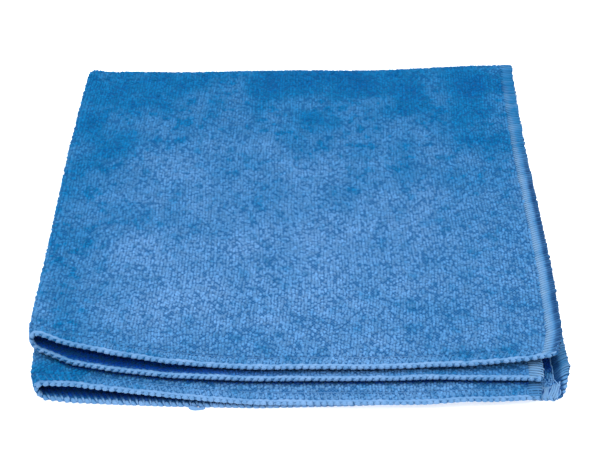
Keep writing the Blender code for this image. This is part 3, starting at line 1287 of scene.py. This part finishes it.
def nap_group() -> Tree:
    """Node group: how raised the nap is.

    The nap is raised over the middle and the front of the cloth and pressed towards the
    back and the left and right sides, with brushed patches by table and by noise. A patch
    is a smooth step of the distance from its middle, counted in its own half sizes.

    Returns:
        The group, with the outputs Nap (0 deep to 1 pale) and Pressed (0 to 1 darker still).
    """
    tree = bpy.data.node_groups.new("brushed_nap", "ShaderNodeTree")
    for name in ("Nap", "Pressed"):
        tree.interface.new_socket(name, in_out="OUTPUT", socket_type="NodeSocketFloat")
    end = tree.nodes.new("NodeGroupOutput")
    place = object_place(tree)
    split = add(tree, "SeparateXYZ")
    give(tree, split.inputs[0], place)
    x, y = split.outputs[0], split.outputs[1]
    forward = ramp_node(tree, y, 0.102, -0.020, 0.10, 0.74)
    left = ramp_node(tree, x, -0.100, -0.030, 0.30, 1.0)
    right = ramp_node(tree, x, 0.100, 0.015, 0.55, 1.0)
    total = math_node(tree, "MULTIPLY", math_node(tree, "MULTIPLY", forward, left), right)
    for patch in NAP_PATCHES:
        off_x, off_y = (math_node(tree, "DIVIDE", math_node(tree, "SUBTRACT", at, mid * MM),
                                  half * MM)
                        for at, mid, half in ((x, patch.x, patch.across),
                                              (y, patch.y, patch.along)))
        square = math_node(tree, "ADD", math_node(tree, "MULTIPLY", off_x, off_x),
                           math_node(tree, "MULTIPLY", off_y, off_y))
        total = math_node(tree, "ADD", total, ramp_node(tree, square, 1.0, 0.0, 0.0,
                                                        patch.change))
    for scale, detail, low, high, reach in ((16.0, 3.0, 0.2, 0.8, 0.50),
                                            (62.0, 3.0, 0.2, 0.8, 0.36)):
        spot = noise_node(tree, place, scale, detail, 0.58)
        total = math_node(tree, "ADD", total, ramp_node(tree, spot, low, high, -0.5 * reach,
                                                        0.5 * reach))
    fleck = ramp_node(tree, noise_node(tree, place, 230.0, 2.0, 0.5), 0.53, 0.68, 0.0, 0.30)
    total = math_node(tree, "SUBTRACT", total, fleck)
    nap = math_node(tree, "ADD", total, 0.0, clamp=True)
    pressed = math_node(tree, "MULTIPLY", total, -2.2, clamp=True)
    give(tree, end.inputs["Nap"], nap)
    give(tree, end.inputs["Pressed"], pressed)
    return tree


def new_material(name: str) -> tuple[bpy.types.Material, Tree, bpy.types.Node]:
    """Start a node material.

    Args:
        name: the material's name.

    Returns:
        The material, its tree and its Principled shader.
    """
    material = bpy.data.materials.new(name)
    material.use_nodes = True
    tree = material.node_tree
    return material, tree, tree.nodes["Principled BSDF"]


@dataclass
class Wardrobe:
    """All the cloth's materials, built once."""

    terry: TerryFinish = TerryFinish()
    sheen_roughness: float = 0.45
    wale: float = 1.32             # width of the backing's knitted rows, in mm
    course: float = 1.46           # and length of their stitches

    def __post_init__(self) -> None:
        """Build the nap group, then the materials that read it."""
        self.nap = nap_group()
        self.loops = self.make_loops()
        self.ground = self.make_ground()
        self.thread = self.make_thread("hem_thread", ThreadFinish())
        self.satin = self.make_thread("hem_satin_thread", SATIN_FINISH)

    def set_fibre(self, shader: bpy.types.Node, finish: TerryFinish | ThreadFinish) -> None:
        """Set the fixed numbers of a matt fibre surface.

        Args:
            shader: the shader whose own inputs are set.
            finish: the finish that holds the numbers.
        """
        for name, value in (("Roughness", finish.roughness),
                            ("Specular IOR Level", finish.specular),
                            ("Sheen Weight", finish.sheen),
                            ("Sheen Roughness", self.sheen_roughness),
                            ("Sheen Tint", (*self.terry.sheen_tint, 1.0))):
            shader.inputs[name].default_value = value

    def nap_colour(self, tree: Tree) -> Socket:
        """Pressed over deep to pale blue, by the nap group.

        Args:
            tree: the material's tree.

        Returns:
            The colour.
        """
        node = add(tree, "Group", node_tree=self.nap)
        raised = mix_node(tree, node.outputs["Nap"], self.terry.deep, self.terry.pale)
        return mix_node(tree, node.outputs["Pressed"], raised, self.terry.pressed)

    def terry_colour(self, tree: Tree) -> Socket:
        """The nap colour, darker with painted shade where the pile lies between the folded sheets.
        """
        shut = attribute(tree, "shut")
        return mix_node(tree, shut, self.nap_colour(tree), self.terry.shut)

    def make_loops(self) -> bpy.types.Material:
        """Loops: dark with painted shade at the foot, pale at the tip, each a tone of its own.

        Returns:
            The material, which reads the attributes tip, tone and shut.
        """
        material, tree, shader = new_material("terry_loops")
        tip, tone = attribute(tree, "tip"), attribute(tree, "tone")
        place = object_place(tree)
        shade = ramp_node(tree, tone, 0.0, 1.0, 0.86, 1.10)
        toned = mix_node(tree, 1.0, self.terry_colour(tree), shade, "MULTIPLY")
        grain = ramp_node(tree, noise_node(tree, place, 1300.0, 2.0, 0.6), 0.25, 0.75, 0.80, 1.20)
        toned = mix_node(tree, 1.0, toned, grain, "MULTIPLY")
        # painted shade at the foot of each loop
        colour = mix_node(tree, ramp_node(tree, tip, -0.3, 0.3, 0.2, 1.0), self.terry.pit_shade, toned)
        give(tree, shader.inputs["Base Color"], colour)
        add_bump(tree, shader, noise_node(tree, place, 2600.0, 2.0, 0.6), 0.5, 0.25 * MM)
        self.set_fibre(shader, self.terry)
        return material

    def make_ground(self) -> bpy.types.Material:
        """Knitted ground between the loops: darker with painted shade, lighter on rows of small
        stitches.

        Returns:
            The material, which reads the attributes flat_u, flat_v and shut.
        """
        material, tree, shader = new_material("terry_ground")
        across, along = (math_node(tree, "SINE", math_node(tree, "MULTIPLY", attribute(tree, name),
                                                           2.0 * np.pi / pitch))
                         for name, pitch in (("flat_u", self.wale), ("flat_v", self.course)))
        knit = math_node(tree, "MULTIPLY", across, along)
        fleck = noise_node(tree, object_place(tree), 900.0, 3.0, 0.6)
        height = math_node(tree, "ADD", math_node(tree, "MULTIPLY", knit, 0.5), fleck)
        shade = ramp_node(tree, height, 0.0, 1.0, 0.05, 0.55)
        # painted shade between the loops, less on the knit's raised stitches
        colour = mix_node(tree, shade, self.terry.pit_shade, self.terry_colour(tree))
        give(tree, shader.inputs["Base Color"], colour)
        add_bump(tree, shader, height, 0.8, 0.5 * MM)
        self.set_fibre(shader, self.terry)
        return material

    def make_thread(self, name: str, finish: ThreadFinish) -> bpy.types.Material:
        """Hem thread: filaments from painted shade over the nap's colour to pale, by strand.

        Args:
            name: the material's name.
            finish: its colours and fixed numbers.

        Returns:
            The material, which reads the attribute pale.
        """
        material, tree, shader = new_material(name)
        place, pale = object_place(tree), attribute(tree, "pale")
        patchy = ramp_node(tree, noise_node(tree, place, 240.0, 3.0, 0.6), 0.25, 0.75, 0.7, 1.2)
        share = math_node(tree, "MULTIPLY", pale, patchy, clamp=True)
        colour = mix_node(tree, share, self.nap_colour(tree), finish.pale)
        # paleness below 0 mixes in the painted shade
        shaded = math_node(tree, "MULTIPLY", pale, -1.0, clamp=True)
        colour = mix_node(tree, shaded, colour, finish.shade)
        give(tree, shader.inputs["Base Color"], colour)
        add_bump(tree, shader, noise_node(tree, place, 3200.0, 2.0, 0.6), 0.4, 0.2 * MM)
        self.set_fibre(shader, finish)
        return material


@dataclass
class Studio:
    """Pale floor, soft light and the camera."""

    target: tuple[float, float, float] = (0.5, -11.5, 5.0)   # mm
    distance: float = 650.0
    elevation: float = 41.0
    turn: float = 0.15
    lens: float = 94.1
    sensor: float = 36.0
    floor_size: float = 30.0       # metres
    floor_glow: float = 0.60       # lifts the floor to a clean white
    overhead: float = 41.5         # watts
    surround: float = 0.75

    def floor(self) -> bpy.types.Object:
        """Lay a wide pale sheet under the cloth.

        Returns:
            The floor, which is staging and no part of the cloth.
        """
        half = 0.5 * self.floor_size / MM
        verts = np.array([[-half, -half, 0.0], [half, -half, 0.0], [half, half, 0.0],
                          [-half, half, 0.0]])
        piece = make_mesh("floor", verts, np.array([[0, 1, 2, 3]]))
        material, _, shader = new_material("studio_paper")
        shader.inputs["Base Color"].default_value = (0.90, 0.90, 0.90, 1.0)
        shader.inputs["Roughness"].default_value = 0.9
        shader.inputs["Specular IOR Level"].default_value = 0.1
        shader.inputs["Emission Color"].default_value = (1.0, 1.0, 1.0, 1.0)
        shader.inputs["Emission Strength"].default_value = self.floor_glow
        piece.data.materials.append(material)
        return piece

    def area(self, name: str, place: tuple[float, float, float], size: float,
             power: float) -> None:
        """A square soft light aimed at the cloth.

        Args:
            name: the lamp's name.
            place: where it hangs, in metres.
            size: its side, in metres.
            power: in watts.
        """
        lamp = bpy.data.lights.new(name, "AREA")
        lamp.size, lamp.energy = size, power
        holder = bpy.data.objects.new(name, lamp)
        holder.location = place
        holder.rotation_euler = (-Vector(place)).to_track_quat("-Z", "Y").to_euler()
        bpy.context.scene.collection.objects.link(holder)

    def light(self) -> None:
        """A large overhead light and an even pale surround."""
        self.area("overhead", (-0.05, -0.15, 1.6), 1.8, self.overhead)
        world = bpy.data.worlds.new("surround")
        world.use_nodes = True
        back = world.node_tree.nodes["Background"]
        back.inputs["Color"].default_value = (1.0, 1.0, 1.0, 1.0)
        back.inputs["Strength"].default_value = self.surround
        bpy.context.scene.world = world

    def camera(self) -> None:
        """Aim the camera at the cloth from the front and above."""
        lift, turn = np.radians(self.elevation), np.radians(self.turn)
        ahead = Vector((np.sin(turn) * np.cos(lift), np.cos(turn) * np.cos(lift), -np.sin(lift)))
        lens = bpy.data.cameras.new("view")
        lens.lens, lens.sensor_width = self.lens, self.sensor
        lens.clip_start, lens.clip_end = 0.01, 100.0
        holder = bpy.data.objects.new("view", lens)
        holder.location = (Vector(self.target) - ahead * self.distance) * MM
        holder.rotation_euler = ahead.to_track_quat("-Z", "Y").to_euler()
        bpy.context.scene.collection.objects.link(holder)
        bpy.context.scene.camera = holder

    def build(self) -> None:
        """Set up the whole studio."""
        self.floor()
        self.light()
        self.camera()
        bpy.context.scene.view_settings.view_transform = "Standard"


def dress(piece: bpy.types.Object, material: bpy.types.Material) -> bpy.types.Object:
    """Give a piece its material and its body.

    Args:
        piece: the piece.
        material: what it is made of.

    Returns:
        The same piece.
    """
    piece.data.materials.append(material)
    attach(piece, "root")
    return piece


def report(piece: bpy.types.Object) -> None:
    """Log a piece's name and its count of triangles."""
    log.info("%s: %d triangles", piece.name, sum(len(p.vertices) - 2 for p in piece.data.polygons))


def main() -> None:
    """Build the cloth, its pile, its hems and the studio, in that order."""
    logging.basicConfig(level=logging.INFO, format="%(name)s %(message)s")
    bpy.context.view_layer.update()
    sheet = FoldedSheet()
    wardrobe = Wardrobe()
    backing = Backing(sheet).make(wardrobe)
    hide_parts("cloth")
    extras = [*TerryPile(sheet).make(wardrobe), *Overlock(sheet).make(wardrobe)]
    for piece in (backing, *extras):
        report(piece)

    Studio().build()


if __name__ == "__main__":
    main()
